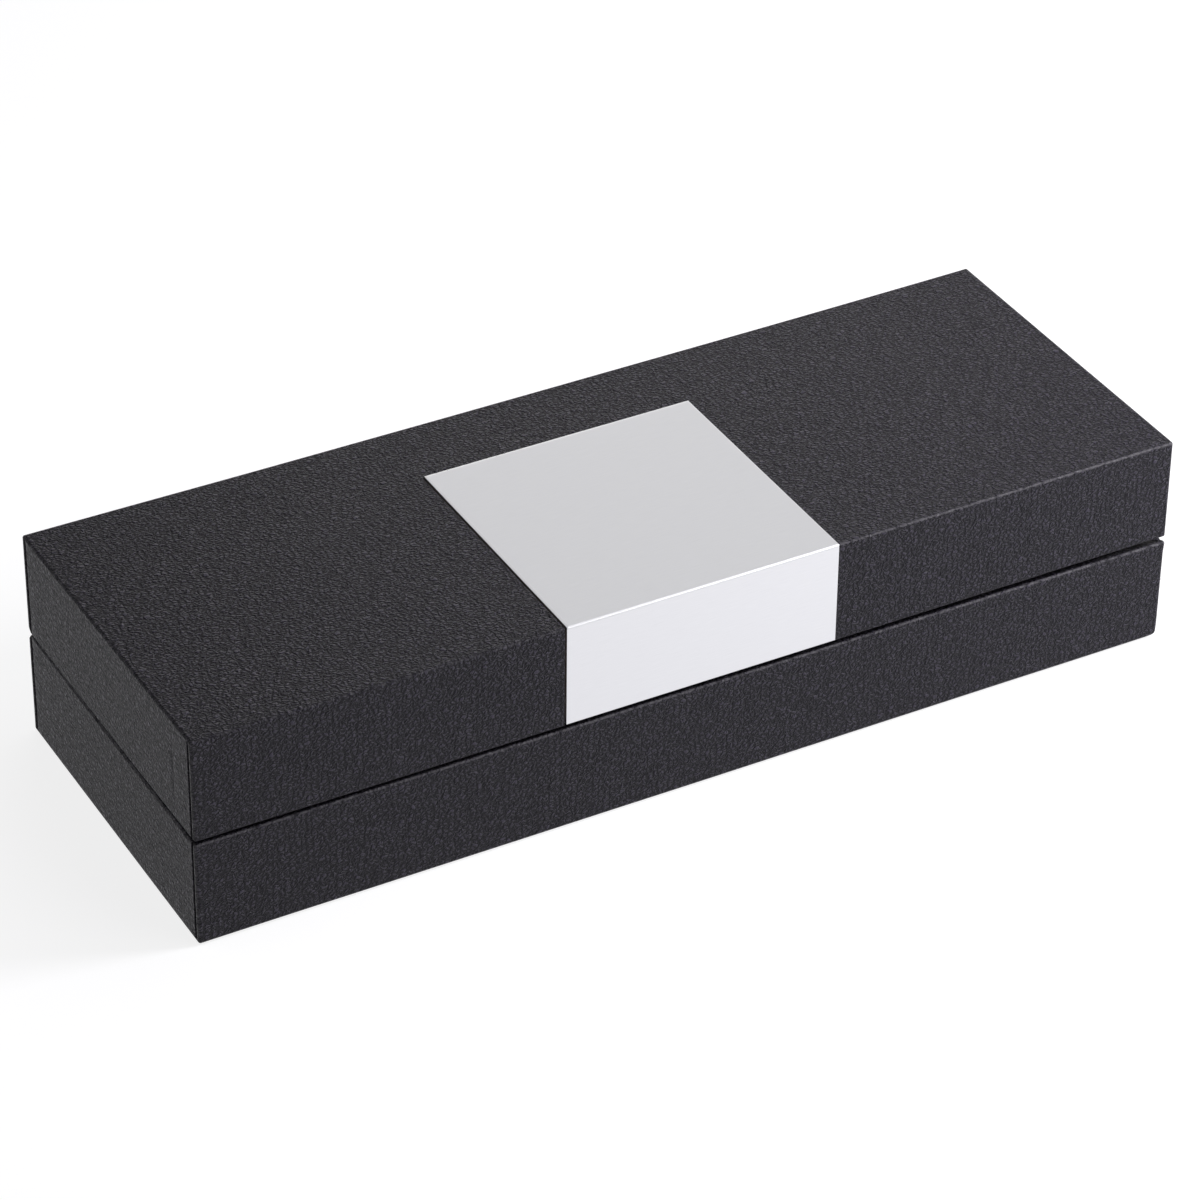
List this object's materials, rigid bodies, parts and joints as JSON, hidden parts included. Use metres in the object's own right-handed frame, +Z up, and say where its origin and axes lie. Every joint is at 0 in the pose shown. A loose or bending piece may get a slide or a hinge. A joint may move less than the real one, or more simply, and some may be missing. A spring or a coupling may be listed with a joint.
{
  "type": "pen storage box",
  "caption": "Hinged presentation box for pens: leatherette over board, an aluminium plate folded over the lid's front edge, a grooved velour bed with elastic loops and a satin lid pad.",
  "frame": {"origin": "middle of the underside, where the box stands", "axes": "+X along the length to the right seen from the front, -Y out of the front, +Z up"},
  "size_m": [0.18, 0.0645, 0.0394],
  "materials": {
    "leatherette": "matte",
    "plate_aluminium": "satin",
    "fibreboard": "matte",
    "underside_paper": "matte",
    "velour": "matte",
    "foam": "matte",
    "elastic": "matte",
    "satin": "satin",
    "pad_card": "matte",
    "mounting_tape": "matte",
    "hinge_steel": "satin"
  },
  "bodies": {
    "base": {"base_floor_board": "fibreboard", "base_front_board": "fibreboard", "base_back_board": "fibreboard", "base_left_board": "fibreboard", "base_right_board": "fibreboard", "base_wrap": "leatherette", "base_underside_sheet": "underside_paper", "base_lining_front": "velour", "base_lining_back": "velour", "base_lining_left": "velour", "base_lining_right": "velour", "pen_bed_foam": "foam", "pen_bed_velour": "velour", "pen_loop_front": "elastic", "pen_loop_back": "elastic", "hinge_left_base_leaf": "hinge_steel", "hinge_left_pin": "hinge_steel", "hinge_right_base_leaf": "hinge_steel", "hinge_right_pin": "hinge_steel"},
    "lid": {"lid_top_board": "fibreboard", "lid_front_board": "fibreboard", "lid_back_board": "fibreboard", "lid_left_board": "fibreboard", "lid_right_board": "fibreboard", "lid_wrap": "leatherette", "lid_plate": "plate_aluminium", "lid_plate_tape_top": "mounting_tape", "lid_plate_tape_front": "mounting_tape", "lid_lining_front": "satin", "lid_lining_back": "satin", "lid_lining_left": "satin", "lid_lining_right": "satin", "lid_pad_card": "pad_card", "lid_pad": "satin", "hinge_left_lid_leaf": "hinge_steel", "hinge_right_lid_leaf": "hinge_steel"}
  },
  "joints": [
    {"name": "lid_hinge", "type": "hinge", "parent": "base", "child": "lid", "pos_m": [0, 0.0312, 0.01995], "axis": [-1, 0, 0], "range_deg": [0, 94]}
  ]
}
